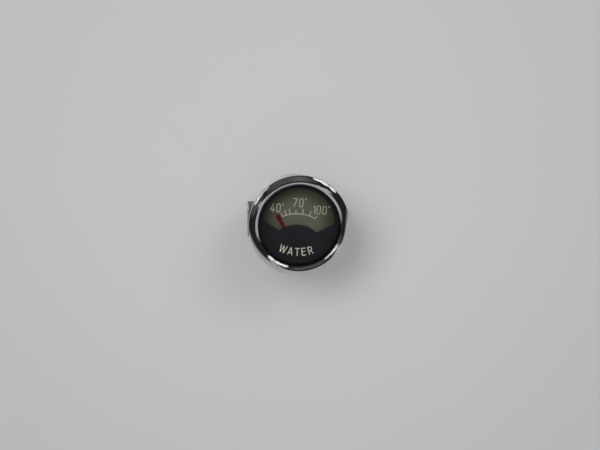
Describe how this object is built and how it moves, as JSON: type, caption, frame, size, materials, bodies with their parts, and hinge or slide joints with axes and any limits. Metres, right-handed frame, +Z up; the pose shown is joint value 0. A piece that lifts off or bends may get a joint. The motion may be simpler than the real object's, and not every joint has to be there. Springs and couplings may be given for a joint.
{
  "type": "water temperature gauge",
  "caption": "Round panel-mounted electric water temperature gauge: chromed bezel, glass, black dial with a lit scale window, red pointer, U clamp bracket.",
  "frame": {"origin": "on the gauge's axis, in the plane of the bezel's back, which rests on the panel", "axes": "+Y along the axis to the back, into the panel; the dial faces -Y; +Z up, so that the dial reads upright; +X to the right as seen from the front"},
  "size_m": [0.0596, 0.0556, 0.058],
  "materials": {
    "chrome": "bright chrome plate on pressed brass",
    "lens_glass": "clear flat glass",
    "rubber": "black rubber",
    "dial_black": "matt black paint",
    "scale_plastic": "translucent grey-green scale plate with pale printing",
    "white_plastic": "matt white, spreads the lamp's light",
    "zinc_steel": "zinc plate with a faint yellow passivation",
    "brass": "turned brass",
    "soft_iron": "soft iron",
    "copper_wire": "enamelled copper wire",
    "phenolic": "brown phenolic insulation",
    "pointer_red": "dark red paint",
    "bright_steel": "bright steel",
    "bobbin_plastic": "dark moulded bobbins",
    "ceramic": "wire-wound ceramic",
    "bulb_glass": "clear bulb glass",
    "spring_bronze": "spring bronze"
  },
  "bodies": {
    "housing": {"bezel": "chrome", "lens": "lens_glass", "lens_gasket": "rubber", "shade_ring": "dial_black", "dial_mask": "dial_black", "spacer_ring": "dial_black", "scale_plate": "scale_plastic", "light_sleeve": "white_plastic", "case": "zinc_steel", "hairspring": "spring_bronze", "hairspring_post": "brass", "front_bridge": "brass", "bridge_pillars": "brass", "bridge_screws": "bright_steel", "stop_pins": "bright_steel", "movement_plate": "bright_steel", "left_pole_piece": "soft_iron", "right_pole_piece": "soft_iron", "coil_bobbins": "bobbin_plastic", "coil_windings": "copper_wire", "calibration_resistor": "ceramic", "mounting_studs": "zinc_steel", "stud_sleeves": "brass", "stud_washers": "zinc_steel", "stud_nuts": "zinc_steel", "terminal_studs": "brass", "terminal_bushes": "phenolic", "terminal_inner_washers": "phenolic", "terminal_washers": "brass", "terminal_nuts": "brass"},
    "pointer": {"pointer": "pointer_red", "pointer_hub": "brass", "pointer_spindle": "bright_steel", "armature": "soft_iron", "counterweight": "brass", "spring_collet": "brass"},
    "bracket": {"clamp_bracket": "zinc_steel", "bracket_washers": "bright_steel"},
    "left_nut": {"left_knurled_nut": "brass"},
    "right_nut": {"right_knurled_nut": "brass"},
    "lamp": {"lamp_holder": "zinc_steel", "lamp_insulator": "phenolic", "lamp_contact": "brass", "bulb_cap": "brass", "bulb_glass": "bulb_glass"}
  },
  "joints": [
    {"name": "pointer_swing", "type": "hinge", "parent": "housing", "child": "pointer", "pos_m": [0, 0, -0.01635], "axis": [0, 1, 0], "range_deg": [0, 62], "stiffness_Nm_per_rad": 0.00002, "springref_deg": -8.59},
    {"name": "left_nut_turn", "type": "hinge", "parent": "bracket", "child": "left_nut", "pos_m": [-0.01696, 0.0439, -0.00119], "axis": [0, 1, 0], "range_deg": [-1800, 1080]},
    {"name": "right_nut_turn", "type": "hinge", "parent": "bracket", "child": "right_nut", "pos_m": [0.01696, 0.0439, 0.00119], "axis": [0, 1, 0], "range_deg": [-1800, 1080]},
    {"name": "bracket_slide", "type": "slide", "parent": "housing", "child": "bracket", "axis": [0, 1, 0], "range_m": [-0.0035, 0.0021]},
    {"name": "lamp_pull", "type": "slide", "parent": "housing", "child": "lamp", "axis": [0, 1, 0], "range_m": [0, 0.022]}
  ],
  "couplings": [
    {"joint": "left_nut_turn", "follows": "bracket_slide", "rad_per_m": 8976},
    {"joint": "right_nut_turn", "follows": "bracket_slide", "rad_per_m": 8976}
  ]
}
